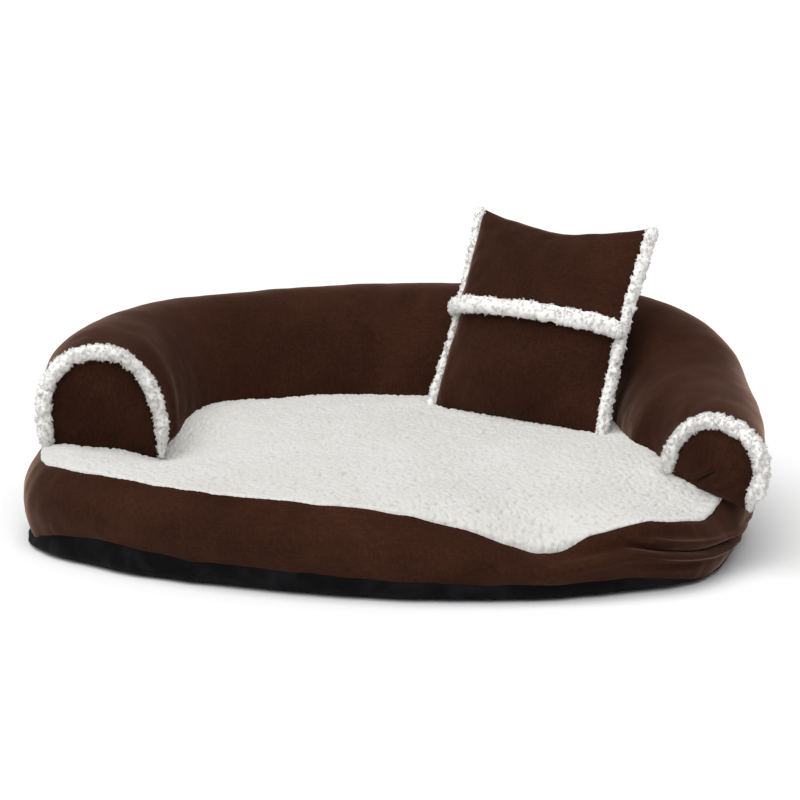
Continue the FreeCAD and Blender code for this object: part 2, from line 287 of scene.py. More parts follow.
def right_pull(points):
    """Where the base's right end and right front corner are drawn in, from 0 to 1."""
    return smooth(across_base(points), 0.45, 0.92) * (1 - smooth(points[..., 1], 0.04, 0.14))


def ring_noise(share, across, seed=0.0):
    """Smooth noise from -1 to 1 round the base, with features about one length across."""
    angle = share * 2 * math.pi
    radius = outline.length / (2 * math.pi * across)
    spots = np.column_stack([np.cos(angle), np.sin(angle), np.zeros(len(share))]) * radius
    spots[:, 2] = seed
    return ripples(spots, 1.0)


def base_ring(share, inset, height):
    """Points round the base, set in from its outline, at a height."""
    flat = outline.at(share) - outline.normals(share) * np.reshape(inset, (-1, 1))
    return np.column_stack([flat, np.broadcast_to(height, len(flat))])


def seam_height(flat, table, behind):
    """A seam's height: from its table along the front, and level round the sides and back."""
    stations, heights = np.array(table).T
    front = curve_through(stations, heights * MM, np.clip(across_base(flat), -1, 1))
    return lerp(behind, front, at_front(flat))


def top_seam(share):
    """The seam between the side band and the seat, pressed down at the right of the front."""
    flat = outline.at(share)
    height = seam_height(flat, FRONT_SEAM, BACK_TOP_SEAM)
    wobble = ring_noise(share, 22 * MM)
    inset = TOP_SEAM_INSET + SEAM_PULL * right_pull(flat)
    return base_ring(share, inset + SEAM_WOBBLE * wobble, height + SEAM_WOBBLE * wobble)


def black_seam(share):
    """The seam between the side band and the black base cloth."""
    flat = outline.at(share)
    height = seam_height(flat, BLACK_SEAM, BACK_BLACK_SEAM)
    wobble = ring_noise(share, 26 * MM, seed=4.0)
    inset = BLACK_SEAM_INSET + SEAM_PULL * right_pull(flat)
    return base_ring(share, inset + 0.7 * MM * wobble, height + 1.0 * MM * wobble)


def pucker(distance, reach):
    """Nothing at a seam, most at one reach from it, and fading beyond: where sewing gathers cloth."""
    return distance / reach * np.exp(1 - distance / reach)


# ---- base pieces ----------------------------------------------------------------------------

BAND_ROWS = 33
BAND_BULGE = 9.5 * MM
BAND_GATHERS = 0.8 * MM
CORNER_FULLNESS = 7 * MM
EDGE_FOLDS = 1.1 * MM
UNDERSIDE_RINGS = 22
UNDERSIDE_RELIEF = 1.2 * MM

# Creases in the front of the band, most of them where its right end is pressed down: both ends
# (x, z, x, z), depth and width, in mm.
BAND_CREASES = [(180, 36, 254, 18, 6.5, 1.7), (132, 29, 196, 38, 4.0, 3.6),
                (176, 24, 226, 17, 1.0, 2.0), (196, 41, 226, 34, 1.0, 2.0),
                (-60, 48, 40, 50, 0.5, 3.0)]

# The base cloth's rings from the seam down and under: inset in mm, share of the seam's height.
BASE_EDGE = [(0, 1.0), (-1.5, 0.72), (0.5, 0.42), (4.0, 0.16), (11, 0.03), (22, 0.0)]


def round_base():
    """Even shares of the way round the base, and the outward directions there."""
    share = np.arange(OUTLINE_COUNT) / OUTLINE_COUNT
    return share, np.column_stack([outline.normals(share), np.zeros(OUTLINE_COUNT)])


def press_creases(obj, creases):
    """Press narrow creases, each with a low ridge along it, into cloth that faces the front."""
    points, normals = get_points(obj), get_normals(obj)
    flat = points[:, [0, 2]] / MM
    push = np.zeros(len(points))
    for x0, z0, x1, z1, depth, width in creases:
        start, run = np.array([x0, z0]), np.array([x1 - x0, z1 - z0])
        along = (flat - start) @ run / (run @ run)
        gap = flat - start - np.clip(along, 0, 1)[:, None] * run
        across = np.linalg.norm(gap, axis=1) / width
        fade = np.clip(4 * along * (1 - along), 0, 1) ** 0.7
        ridge = 0.5 * np.exp(-(across - 2.2) ** 2)
        push += depth * fade * (np.exp(-across ** 2) - ridge)
    push *= points[:, 1] < 0
    set_points(obj, points - normals * (push * MM)[:, None])


def make_side_band(material):
    """The suede band between the black cloth and the seat, full and softly wrinkled."""
    share, outwards = round_base()
    low, high = black_seam(share), top_seam(share)
    grid = []
    for v in np.linspace(0, 1, BAND_ROWS):
        bulge = BAND_BULGE * math.sin(math.pi * v ** 1.15) ** 0.8
        grid.append(lerp(low, high, v) + outwards * bulge)
    grid = np.array(grid)
    row = np.arange(BAND_ROWS)
    inner = np.sin(np.linspace(0, math.pi, BAND_ROWS))[:, None]
    relief = 0.6 * MM * ripples(grid, 16 * MM, seed=3.1) + 0.9 * MM * ripples(grid, 45 * MM, seed=1.3)
    from_seam = np.minimum(row, row[::-1])[:, None] / BAND_ROWS
    gathers = BAND_GATHERS * ring_noise(share, 9 * MM, seed=7.0) * pucker(from_seam, 0.1)
    grid += outwards * (relief * inner + gathers)[..., None]
    band = make_object("side_band", grid, quads(BAND_ROWS, OUTLINE_COUNT, closed=True), material)
    apply_subdivision(band)
    press_creases(band, BAND_CREASES)
    finish_piece(band, "bed", ["base_side_band"])


def make_bottom(material):
    """The black base cloth: its turned-up edge, and the flat underside that it rests on."""
    share, outwards = round_base()
    seam = black_seam(share)
    corner = smooth(-across_base(seam), 0.25, 0.6) * at_front(seam)
    folds = ring_noise(share, 30 * MM, seed=9.0) + 0.5 * ring_noise(share, 12 * MM, seed=6.0)
    grid = []
    for place, (inset, climb) in enumerate(BASE_EDGE):
        ring = seam - outwards * inset * MM
        fullness = CORNER_FULLNESS * corner - 4 * MM * right_pull(seam)
        ring += outwards * (fullness * min(place, 3) / 3)[:, None]
        ring[:, 2] *= climb
        ring += outwards * (EDGE_FOLDS * folds * (place in (1, 2, 3)))[:, None]
        grid.append(ring)
    rim = grid[-1]
    middle = rim.mean(axis=0)
    for shrink in np.linspace(1, 0.02, UNDERSIDE_RINGS)[1:]:
        grid.append(middle + (rim - middle) * shrink)
    grid = np.array(grid)
    inside = smooth(np.arange(len(grid)), len(BASE_EDGE), len(BASE_EDGE) + 6)
    grid[..., 2] += inside[:, None] * UNDERSIDE_RELIEF * (1 + ripples(grid, 45 * MM, seed=8.0))
    faces = quads(len(grid), OUTLINE_COUNT, closed=True)
    faces = np.concatenate([faces, ring_fill((len(grid) - 1) * OUTLINE_COUNT, OUTLINE_COUNT)])
    bottom = make_object("base_bottom", grid, faces[:, ::-1], material)
    apply_subdivision(bottom)
    finish_piece(bottom, "bed", ["base_bottom_panel"])


# ---- the bolster's shape --------------------------------------------------------------------

BOLSTER_INSET = 49 * MM
BOLSTER_STATIONS = 250
ARCH_COUNT = 64
UNDER_COUNT = 16
SECTION_COUNT = ARCH_COUNT + UNDER_COUNT
END_BLEND = 75 * MM
ARCH_ASPECT = np.array([0.6, 1.0])
UNDER_SAG = 0.02

# A section of the bolster from its outer foot, up and over to its inner foot: half widths, heights.
ARCH = [(0.88, 0.0), (0.98, 0.28), (1.0, 0.54), (0.88, 0.78), (0.55, 0.95), (0.1, 1.0),
        (-0.3, 0.94), (-0.6, 0.8), (-0.83, 0.58), (-0.97, 0.3), (-0.97, 0.0)]

# From the right arm's end round the back to the left's: the share of the way, then in mm the half
# width, height and inner foot, the outward roll in degrees, and how far the line stands out.
SECTIONS = [(0.00, 38, 52, 57, 11, 29), (0.05, 42, 58, 56, 8, 8), (0.12, 45, 66, 56, 6, -4),
            (0.18, 46, 78, 56, 4, -5), (0.26, 46, 89, 56, 3, -1), (0.50, 46, 87, 56, 2, 0),
            (0.74, 46, 81, 56, 2, 0), (0.88, 46, 80, 56, 2, 0), (0.95, 46, 79, 53, 0, 1),
            (1.00, 44, 78, 46, -2, 0)]


def spaced(path, count):
    """The same path as evenly spaced points."""
    travel = travel_along(path)
    at = np.linspace(0, travel[-1], count)
    return np.stack([np.interp(at, travel, path[:, k]) for k in range(path.shape[1])], axis=1)


def arch_section():
    """The section's points, evenly spaced over the arch and then back along its flat underside."""
    shape = np.array(ARCH) * ARCH_ASPECT
    stations = np.linspace(0, 1, len(shape))
    arch = spaced(curve_through(stations, shape, np.linspace(0, 1, 400)), ARCH_COUNT)
    under = np.linspace(arch[-1], arch[0], UNDER_COUNT + 2)[1:-1] - [0, UNDER_SAG]
    return np.concatenate([arch, under]) / ARCH_ASPECT


def end_facing(label):
    """The level direction that an arm's end faces."""
    facing = towards(node_axes(f"{label}_arm_end_panel")[2], np.array([0, -1, 0]))
    facing[2] = 0
    return unit(facing)


def end_across(label):
    """The direction across an arm's end, away from the nest."""
    facing = end_facing(label)
    side = 1 if label == "right" else -1
    return side * np.array([-facing[1], facing[0]])


def bolster_grid():
    """The bolster's sections along the outline, from the right arm's end round to the left's."""
    start = outline.share_of(node_centre("right_arm_end_panel"))
    end = outline.share_of(node_centre("left_arm_end_panel"))
    along = np.linspace(0, 1, BOLSTER_STATIONS)
    share = lerp(start, end, along)
    span = (end - start) * outline.length
    normals = outline.normals(share)
    centres = outline.at(share) - normals * BOLSTER_INSET
    for label, travel in (("right", along * span), ("left", (1 - along) * span)):
        weight = (1 - smooth(travel, 0, END_BLEND))[:, None]
        normals = unit(lerp(normals, end_across(label)[None], weight))
    table = np.array(SECTIONS)
    values = curve_through(table[:, 0], table[:, 1:], along)
    half, height, foot, roll, stand = values.T[..., None] * MM
    roll = np.radians(roll / MM)
    across, climb = arch_section().T
    sideways = (across + 1) * half
    upwards = climb * height
    outer = sideways * np.cos(roll) + upwards * np.sin(roll) - half + stand
    top = upwards * np.cos(roll) - sideways * np.sin(roll)
    flat = centres[:, None] + normals[:, None] * outer[..., None]
    line = centres + normals * stand
    return np.concatenate([flat, (foot + top)[..., None]], axis=-1), line


BOLSTER_GRID, BOLSTER_LINE = bolster_grid()


def make_bolster(material):
    """The suede cover, softly uneven, and gathered a little along its foot and round its ends."""
    faces = quads(BOLSTER_STATIONS, SECTION_COUNT, closed=True)[:, ::-1]
    cover = make_object("bolster", BOLSTER_GRID, faces, material)
    column = np.tile(np.arange(SECTION_COUNT), BOLSTER_STATIONS)
    row = np.repeat(np.arange(BOLSTER_STATIONS), SECTION_COUNT)
    from_foot = np.clip(np.minimum(column, ARCH_COUNT - 1 - column), 0, None) / ARCH_COUNT
    from_end = np.minimum(row, BOLSTER_STATIONS - 1 - row) / BOLSTER_STATIONS
    points, normals = get_points(cover), get_normals(cover)
    along_foot = ripples(points * [1, 1, 0.25], 11 * MM, seed=6.2) * pucker(from_foot, 0.07)
    along_end = ripples(points * [0.6, 0.3, 1], 9 * MM, seed=4.4) * pucker(from_end, 0.012)
    relief = ripples(points, 26 * MM, seed=5.5) + 1.4 * ripples(points, 60 * MM, seed=9.1)
    relief = 0.6 * relief + 0.7 * along_foot + 0.8 * along_end
    set_points(cover, points + normals * (MM * relief * (from_end > 0))[:, None])
    apply_subdivision(cover)
    finish_piece(cover, "bed", ["bolster_cover", "bolster_fill", "base_fill"])


# ---- sherpa ---------------------------------------------------------------------------------

PILE_CELL = 3.0 * MM
TRIM_CELL = 4.6 * MM
FIBRES = 6
FIBRE_POINTS = 7
FIBRE_RADIUS = 0.24 * MM
LUMP_REACH = 0.8
LEAN = 0.3
TUBE_SIDES = 36
TUBE_STEP = 1.1 * MM


def grow_pile(obj, depth, seed=0.0, strength=1.0, cell=PILE_CELL):
    """Raise rounded curls all over a sherpa surface, and note each point's height, by which the low
    places between curls are coloured darker as painted shade.
    """
    points, normals = get_points(obj), get_normals(obj)
    lift = np.zeros(len(points))
    lean = np.zeros_like(points)
    for size, share, offset in ((1.0, 0.7, seed), (0.5, 0.3, seed + 31.7)):
        scaled = points / (cell * size) + offset
        for i, point in enumerate(scaled):
            distances, features = noise.voronoi(Vector(point))
            lump = math.sqrt(max(0.0, 1 - (distances[0] / LUMP_REACH) ** 2))
            lift[i] += share * lump
            if size == 1.0:
                lean[i] = (point - np.array(features[0])) * lump
    strength = np.broadcast_to(strength, len(points))
    moved = points + normals * (depth * (lift - 0.35) * strength)[:, None]
    moved += lean * (cell * LEAN * strength)[:, None]
    set_points(obj, moved)
    note_height(obj, lift)


def surface_spots(obj, count):
    """Random spots on a surface, even by area, with the surface's normals there."""
    mesh = obj.data
    mesh.calc_loop_triangles()
    corners = np.empty(len(mesh.loop_triangles) * 3, np.int32)
    mesh.loop_triangles.foreach_get("vertices", corners)
    corners = corners.reshape(-1, 3)
    a, b, c = get_points(obj)[corners.T]
    area = np.linalg.norm(np.cross(b - a, c - a), axis=1)
    pick = rng.choice(len(area), count, p=area / area.sum())
    share = rng.dirichlet((1, 1, 1), count)[..., None]
    spots = (get_points(obj)[corners[pick]] * share).sum(axis=1)
    return spots, unit((get_normals(obj)[corners[pick]] * share).sum(axis=1))


def tuft_mesh(spots, normals, length):
    """Small locks of wool, each of a few bowed fibres that meet near a tip: points and faces."""
    count = len(spots)
    side = unit(np.cross(normals, rng.normal(size=normals.shape)))
    frames = np.stack([side, np.cross(normals, side), normals], axis=1)

    def scatter(spread, *shape):
        return rng.normal(0, 1, (*shape, 3)) * np.array(spread) * length

    tip = scatter((0.55, 0.55, 0.12), count, 1) + [0, 0, length * 0.65]
    root = scatter((0.35, 0.35, 0.0), count, FIBRES) - [0, 0, length * 0.25]
    end = tip + scatter((0.2, 0.2, 0.14), count, FIBRES)
    middle = (root + end) / 2 + scatter((0.2, 0.2, 0.1), count, FIBRES) + [0, 0, length * 0.15]
    root, middle, end = ((spots[:, None] + np.einsum("cfk,ckj->cfj", part, frames)).reshape(-1, 3)
                         for part in (root, middle, end))
    first = unit(np.cross(end - root, rng.normal(size=root.shape)))
    second = unit(np.cross(end - root, first))
    rows = []
    for centre, radius in ((root, FIBRE_RADIUS), (middle, FIBRE_RADIUS * 0.8)):
        for angle in np.radians((0, 120, 240)):
            rows.append(centre + (first * math.cos(angle) + second * math.sin(angle)) * radius)
    points = np.stack([*rows, end], axis=1).reshape(-1, 3)
    start = np.arange(len(root))[:, None, None] * FIBRE_POINTS
    walls = np.array([(0, 1, 4, 3), (1, 2, 5, 4), (2, 0, 3, 5)])
    cap = np.array([(3, 4, 6), (4, 5, 6), (5, 3, 6)])
    return points, (start + walls).reshape(-1, 4), (start + cap).reshape(-1, 3)


def note_height(obj, heights):
    """Keep how high each point stands in the pile: the sherpa's colour is painted darker at low
    points, as painted shade.
    """
    shade = obj.data.attributes.new("pile_height", "FLOAT", "POINT")
    shade.data.foreach_set("value", heights.astype(np.float32))


def add_tufts(obj, count, length):
    """Grow locks of wool out of a sherpa piece, as part of its own mesh."""
    spots, directions = surface_spots(obj, count)
    points, walls, caps = tuft_mesh(spots, directions, length)
    base = get_points(obj)
    heights = np.empty(len(base), np.float32)
    obj.data.attributes["pile_height"].data.foreach_get("value", heights)
    faces = [tuple(face.vertices) for face in obj.data.polygons]
    faces += (walls + len(base)).tolist() + (caps + len(base)).tolist()
    whole = make_object("tufted", np.concatenate([base, points]), faces, obj.data.materials[0])
    note_height(whole, np.concatenate([heights, np.ones(len(points))]))
    obj.data = whole.data
    bpy.data.objects.remove(whole)


def make_tube(name, path, across, up, radii, material):
    """A stuffed sherpa strip along a path, closed at both ends; radii are across it and up."""
    length = np.linalg.norm(np.diff(path, axis=0), axis=1).sum()
    count = int(length / TUBE_STEP)
    stacked = spaced(np.concatenate([path, across, up], axis=1), count)
    path, across, up = stacked[:, :3], unit(stacked[:, 3:6]), unit(stacked[:, 6:])
    travel = np.linspace(0, length, count)
    ends = np.minimum(travel, length - travel) / max(radii)
    taper = np.sqrt(1 - (1 - np.clip(ends, 0, 1)) ** 2) * 0.995 + 0.005
    uneven = 1 + 0.10 * ripples(path, 9 * MM, seed=1.7)
    angle = np.arange(TUBE_SIDES) / TUBE_SIDES * 2 * math.pi
    wide = (radii[0] * taper * uneven)[:, None, None] * np.cos(angle)[None, :, None]
    tall = (radii[1] * taper * uneven)[:, None, None] * np.sin(angle)[None, :, None]
    grid = path[:, None] + across[:, None] * wide + up[:, None] * tall
    tube = make_object(name, grid, quads(count, TUBE_SIDES, closed=True), material)
    handedness = np.cross(path[1] - path[0], across[0]) @ up[0]
    if handedness < 0:
        tube.data.flip_normals()
    return tube


# ---- seat -----------------------------------------------------------------------------------

SEAT_STEP = 1.1 * MM
HIDDEN_STEP = 7 * MM
SEAT_HEIGHT = 63 * MM
SEAT_OVERHANG = 2.5 * MM
SEAT_TUCK = 2 * MM
SEAT_CROWN = 3 * MM
BOLSTER_COVERS = 32 * MM
OPEN_STATIONS = 10

# Where a pet has pressed the seat down, in mm: place, reach and depth.
SEAT_DENTS = [(-158, -32, 33, 21), (-152, -78, 32, 11), (-205, -62, 30, 6), (190, -95, 42, 9),
              (120, -110, 50, 5)]


def nearest(line, points):
    """For each flat point, the distance to a line of flat points, and the nearest one's place."""
    tree = KDTree(len(line))
    for i, p in enumerate(line):
        tree.insert((p[0], p[1], 0), i)
    tree.balance()
    found = [tree.find((p[0], p[1], 0)) for p in points]
    return np.array([f[2] for f in found]), np.array([f[1] for f in found])


def lattice(step):
    """Flat points in even triangles over the whole base."""
    low, high = np.array(CAD_BOX[0][:2]), np.array(CAD_BOX[1][:2])
    xs = np.arange(low[0], high[0], step)
    ys = np.arange(low[1], high[1], step * math.sqrt(0.75))
    x, y = np.meshgrid(xs, ys)
    x[1::2] += step / 2
    return np.column_stack([x.ravel(), y.ravel()])


def inside_base(points):
    """Whether flat points lie inside the outline, by their angle and reach from the middle."""
    ring = outline.ring
    angle = np.mod(np.arctan2(points[:, 1], points[:, 0]) + math.pi / 2, 2 * math.pi)
    at = np.mod(np.arctan2(ring[:, 1], ring[:, 0]) + math.pi / 2, 2 * math.pi)
    order = np.argsort(at)
    reach = np.interp(angle, at[order], np.linalg.norm(ring, axis=1)[order])
    return np.linalg.norm(points, axis=1) < reach - TOP_SEAM_INSET - 1.5 * MM


def under_bolster(points):
    """Whether flat points are hidden well under the bolster, away from its two ends."""
    gap, place = nearest(BOLSTER_LINE, points)
    last = BOLSTER_STATIONS - 1 - OPEN_STATIONS
    return (gap < BOLSTER_COVERS) & (place > OPEN_STATIONS) & (place < last)


def seat_level(flat, gap, rim_height):
    """The seat's height, from its place, its distance from the seam and the seam's height there."""
    soft = lerp(11 * MM, 26 * MM, smooth(across_base(flat), 0.1, 0.5))
    crown = SEAT_CROWN * smooth(gap, 0.02, 0.12)
    rise = (SEAT_HEIGHT - rim_height) * (1 - np.exp(-gap / soft)) + crown
    mound = np.exp(-((flat[:, 0] + 0.20) / 0.05) ** 2) * np.exp(-((gap - 0.015) / 0.014) ** 2)
    uneven = 1.6 * MM * ripples(np.column_stack([flat, flat[:, 0] * 0]), 70 * MM, seed=2.4)
    level = rim_height + rise + 3 * MM * mound + uneven * smooth(gap, 0, 0.03)
    inside = smooth(gap, 0.05, 0.11)
    level = lerp(level, SEAT_HEIGHT + crown + uneven, inside)
    for x, y, reach, depth in SEAT_DENTS:
        away = np.hypot(flat[:, 0] - x * MM, flat[:, 1] - y * MM) / (reach * MM)
        level -= depth * MM * np.exp(-away ** 2) * smooth(gap, 0, 0.012)
    return level - SEAT_TUCK * (1 - smooth(gap, 0, 0.002))


def make_seat(material):
    """The sherpa top: it rises from the seam all round, crowns, and runs on under the bolster."""
    count = int(outline.length / SEAT_STEP)
    edge = top_seam(np.arange(count) / count)
    fine, coarse = lattice(SEAT_STEP), lattice(HIDDEN_STEP)
    fine = fine[inside_base(fine)]
    fine = fine[~under_bolster(fine)]
    coarse = coarse[inside_base(coarse)]
    coarse = coarse[under_bolster(coarse)]
    flat = np.concatenate([edge[:, :2], fine, coarse])
    rim = [(i, (i + 1) % count) for i in range(count)]
    spots = [Vector(p) for p in flat]
    flat, _, faces, *_ = delaunay_2d_cdt(spots, rim, [], 1, 1e-7)
    flat = np.array([p[:] for p in flat])
    gap, place = nearest(edge, flat)
    level = seat_level(flat, gap, edge[place, 2])
    over = (edge[place, :2] - flat) / np.maximum(gap, 1e-6)[:, None]
    over *= (SEAT_OVERHANG * np.exp(-((gap - 0.005) / 0.004) ** 2))[:, None]
    seat = make_object("seat", np.column_stack([flat + over, level]), faces, material)
    grow_pile(seat, 2.2 * MM, strength=smooth(gap, -0.001, 0.004))
    finish_piece(seat, "bed", ["seat_top_panel"])


# ---- arm ends -------------------------------------------------------------------------------

END_RINGS = 16
END_DOME = 8 * MM
TRIM_TUFTS = 1100
TRIM_LOCK = 1.8 * MM

# A tuck low in the right arm's end, and the fold beside it: both ends, depth and width, in mm.
END_CREASES = [(214, 55, 230, 68, 2.6, 1.5), (230, 52, 244, 60, 1.2, 2.0)]


def end_rim(label):
    """The bolster's last section at an arm's end."""
    return BOLSTER_GRID[0 if label == "right" else -1]


def make_end_panel(label, material):
    """The D panel, domed by the stuffing behind it."""
    rim = end_rim(label)
    facing = end_facing(label)
    middle = rim.mean(axis=0) + [0, 0, 4 * MM]
    grid = []
    for t in np.linspace(0, 0.99, END_RINGS):
        dome = END_DOME * (1 - (1 - t) ** 2)
        grid.append(lerp(rim, middle, t) + facing * dome)
    grid = np.array(grid)
    inner = pucker(np.linspace(0, 1, END_RINGS), 0.5)[:, None, None]
    grid += facing * 0.9 * MM * ripples(grid, 22 * MM, seed=2.0)[..., None] * inner
    faces = quads(END_RINGS, SECTION_COUNT, closed=True)
    faces = np.concatenate([faces, ring_fill((END_RINGS - 1) * SECTION_COUNT, SECTION_COUNT)])
    panel = make_object(f"{label}_arm_end", grid, faces, material)
    if label == "left":
        panel.data.flip_normals()
    apply_subdivision(panel)
    if label == "right":
        press_creases(panel, END_CREASES)
    finish_piece(panel, "bed", [f"{label}_arm_end_panel"])


def make_arm_trim(label, material):
    """The sherpa strip sewn over the arch of the arm's end."""
    rim = end_rim(label)
    facing = end_facing(label)
    arch = rim[:ARCH_COUNT]
    along = unit(np.gradient(arch, axis=0))
    outwards = towards(np.cross(along[5], facing), arch[5] - rim.mean(axis=0))
    sign = np.sign(np.dot(outwards, np.cross(along[5], facing)))
    outwards = sign * np.cross(along, facing)
    path = arch - outwards * 1.5 * MM + facing * 3.0 * MM
    radii = (3.7 * MM, 4.6 * MM)
    trim = make_tube(f"{label}_arm_trim", path, outwards, np.broadcast_to(facing, path.shape),
                     radii, material)
    grow_pile(trim, 2.6 * MM, seed=3.0 if label == "left" else 7.0, cell=TRIM_CELL)
    add_tufts(trim, TRIM_TUFTS, TRIM_LOCK)
    finish_piece(trim, "bed", [f"{label}_arm_trim"])


# ---- pillow ---------------------------------------------------------------------------------

PILLOW_COUNT = 57
PILLOW_PLUMP = 27 * MM
FLAP_DROP = 0.49
PILLOW_TUFTS = 600
PILLOW_LOCK = 1.6 * MM


class PillowStance:
    """Where the pillow stands, and its own directions, read from its CAD nodes."""

    def __init__(self):
        left, right = node_centre("pillow_left_trim"), node_centre("pillow_right_trim")
        self.across = unit(right - left)
        self.up = towards(node_axes("pillow_right_trim")[0], np.array([0, 0, 1]))
        self.facing = towards(np.cross(self.across, self.up), np.array([0, -1, 0]))
        self.centre = (left + right) / 2
        self.half_width = np.linalg.norm(right - left) / 2
        self.half_height = extent("pillow_fill", self.up) / 2


stance = PillowStance()


def pillow_sheet(side):
    """One face of the pillow, with drawn-in edges between its pointed corners."""
    span = np.linspace(-1, 1, PILLOW_COUNT)
    u, v = np.meshgrid(span, span)
    sideways = u * stance.half_width * (1 - 0.06 * (1 - np.abs(v) ** 1.6))
    upwards = v * stance.half_height * (1.06 - 0.16 * (1 - np.abs(u) ** 1.5) * smooth(v, -1, 1))
    plump = PILLOW_PLUMP * ((1 - np.abs(u) ** 2.4) * (1 - np.abs(v) ** 2.4)) ** 0.6
    plump = plump * (1 - 0.12 * v)
    return (stance.centre + stance.across * sideways[..., None] + stance.up * upwards[..., None]
            + stance.facing * (side * plump)[..., None])


def make_pillow(suede):
    """The two faces sewn together round the edge and filled out, then the flap over the front."""
    n = PILLOW_COUNT
    front, back = pillow_sheet(1), pillow_sheet(-0.8)
    number = np.arange(n * n).reshape(n, n)
    rim = np.zeros((n, n), bool)
    rim[[0, -1], :] = rim[:, [0, -1]] = True
    behind = np.where(rim, number, -1)
    behind[~rim] = n * n + np.arange((~rim).sum())
    points = np.concatenate([front.reshape(-1, 3), back[~rim]])
    points += 0.5 * MM * ripples(points, 20 * MM, seed=12.0)[:, None]
    span = np.abs(np.linspace(-1, 1, n))
    from_edge = 1 - np.maximum(*np.meshgrid(span, span))
    from_edge = np.concatenate([from_edge.ravel(), from_edge[~rim]])
    relief = 1.2 * ripples(points, 11 * MM, seed=3.6) * pucker(from_edge, 0.1)
    relief += 0.9 * ripples(points, 34 * MM, seed=8.2) * pucker(from_edge, 0.6)
    points += stance.facing * (MM * relief)[:, None]
    face = make_object("pillow_front", points[:n * n], quads(n, n), suede)
    rear = make_object("pillow_back", points[behind.ravel()], quads(n, n)[:, ::-1], suede)
    rows = int((1 - FLAP_DROP) * (n - 1))
    sheet = points[:n * n].reshape(n, n, 3)
    normals = get_normals(face).reshape(n, n, 3)
    lift = lerp(3.2 * MM, 1.2 * MM, smooth(np.arange(n), rows, rows + 8))[:, None, None]
    flap_points = (sheet + normals * lift)[rows:]
    flap_points[-1] = sheet[-1]
    flap = make_object("pillow_flap", flap_points, quads(n - rows, n), suede)
    for piece in (face, rear, flap):
        apply_subdivision(piece)
    finish_piece(face, "pillow", ["pillow_front_panel", "pillow_fill"])
    finish_piece(rear, "pillow", ["pillow_back_panel"])
    finish_piece(flap, "pillow", ["pillow_flap"])
    return sheet, flap_points


def make_pillow_trims(sheet, flap_points, sherpa):
    """The sherpa strips down the pillow's sides, and the one along the flap's lower edge."""
    facing, up, across = stance.facing, stance.up, stance.across
    for label, column, side in (("left", 0, -1), ("right", -1, 1)):
        path = sheet[:, column] + side * across * 1.5 * MM
        shape = path.shape
        trim = make_tube(f"pillow_{label}_trim", path, np.broadcast_to(side * across, shape),
                         np.broadcast_to(facing, shape), (3.0 * MM, 4.4 * MM), sherpa)
        grow_pile(trim, 2.2 * MM, seed=11.0 + side, cell=TRIM_CELL)
        add_tufts(trim, PILLOW_TUFTS, PILLOW_LOCK)
        finish_piece(trim, "pillow", [f"pillow_{label}_trim"])
    path = flap_points[0]
    shape = path.shape
    outwards = unit(np.cross(np.gradient(path, axis=0), up))
    outwards = outwards * np.sign(outwards @ facing)[:, None]
    trim = make_tube("pillow_flap_trim", path + outwards * 2.0 * MM, outwards,
                     np.broadcast_to(up, shape), (3.4 * MM, 5.2 * MM), sherpa)
    grow_pile(trim, 2.2 * MM, seed=17.0, cell=TRIM_CELL)
    add_tufts(trim, PILLOW_TUFTS, PILLOW_LOCK)
    finish_piece(trim, "pillow", ["pillow_flap_trim"])


# ---- materials ------------------------------------------------------------------------------

class Nodes:
    """A small builder for one material's nodes."""

    def __init__(self, name):
        self.material = bpy.data.materials.new(name)
        self.material.use_nodes = True
        self.tree = self.material.node_tree
        self.shader = self.tree.nodes["Principled BSDF"]
        self.place = self.add("ShaderNodeTexCoord").outputs["Object"]

    def add(self, kind, inputs=None, **settings):
        node = self.tree.nodes.new(kind)
        for key, value in settings.items():
            setattr(node, key, value)
        for key, value in (inputs or {}).items():
            self.feed(node.inputs[key], value)
        return node

    def feed(self, socket, value):
        """Link a socket to another one, or set its value."""
        if isinstance(value, bpy.types.NodeSocket):
            self.tree.links.new(value, socket)
        else:
            socket.default_value = value

    def noise(self, scale, detail=3.0, roughness=0.55, stretch=None, distortion=0.0):
        place = self.place
        if stretch:
            place = self.add("ShaderNodeMapping", {"Vector": place, "Scale": stretch}).outputs[0]
        node = self.add("ShaderNodeTexNoise", {"Vector": place, "Scale": scale, "Detail": detail,
                                               "Roughness": roughness, "Distortion": distortion})
        return node.outputs["Fac"]

    def ramp(self, value, low, high):
        """A colour from a value, between two stops: each a place and its colour."""
        node = self.add("ShaderNodeValToRGB", {"Fac": value})
        for element, (position, colour) in zip(node.color_ramp.elements, (low, high)):
            element.position = position
            element.color = (*colour, 1.0)
        return node.outputs["Color"]

    def shade(self, strength, colour, by):
        """A colour, multiplied by another at some strength."""
        node = self.add("ShaderNodeMix", data_type="RGBA", blend_type="MULTIPLY")
        for socket, value in ((0, strength), (6, colour), (7, by)):
            self.feed(node.inputs[socket], value)
        return node.outputs[2]

    def math(self, operation, *values):
        node = self.add("ShaderNodeMath", operation=operation)
        for socket, value in zip(node.inputs, values):
            self.feed(socket, value)
        return node.outputs[0]

    def bump(self, height, distance, strength, normal=None):
        inputs = {"Height": height, "Distance": distance, "Strength": strength}
        if normal is not None:
            inputs["Normal"] = normal
        return self.add("ShaderNodeBump", inputs).outputs["Normal"]

    def finish(self, **inputs):
        for key, value in inputs.items():
            self.feed(self.shader.inputs[key.replace("_", " ")], value)
        return self.material


def threads(nodes, pitch):
    """A fine weave: thin noise streaks along x, crossed with others up z."""
    fine = 1 / pitch
    along = nodes.noise(fine, detail=1.0, stretch=(0.18, 1.0, 1.0))
    upright = nodes.noise(fine, detail=1.0, stretch=(1.0, 1.0, 0.18))
    return nodes.math("ADD", nodes.math("MULTIPLY", along, 0.5), nodes.math("MULTIPLY", upright, 0.5))


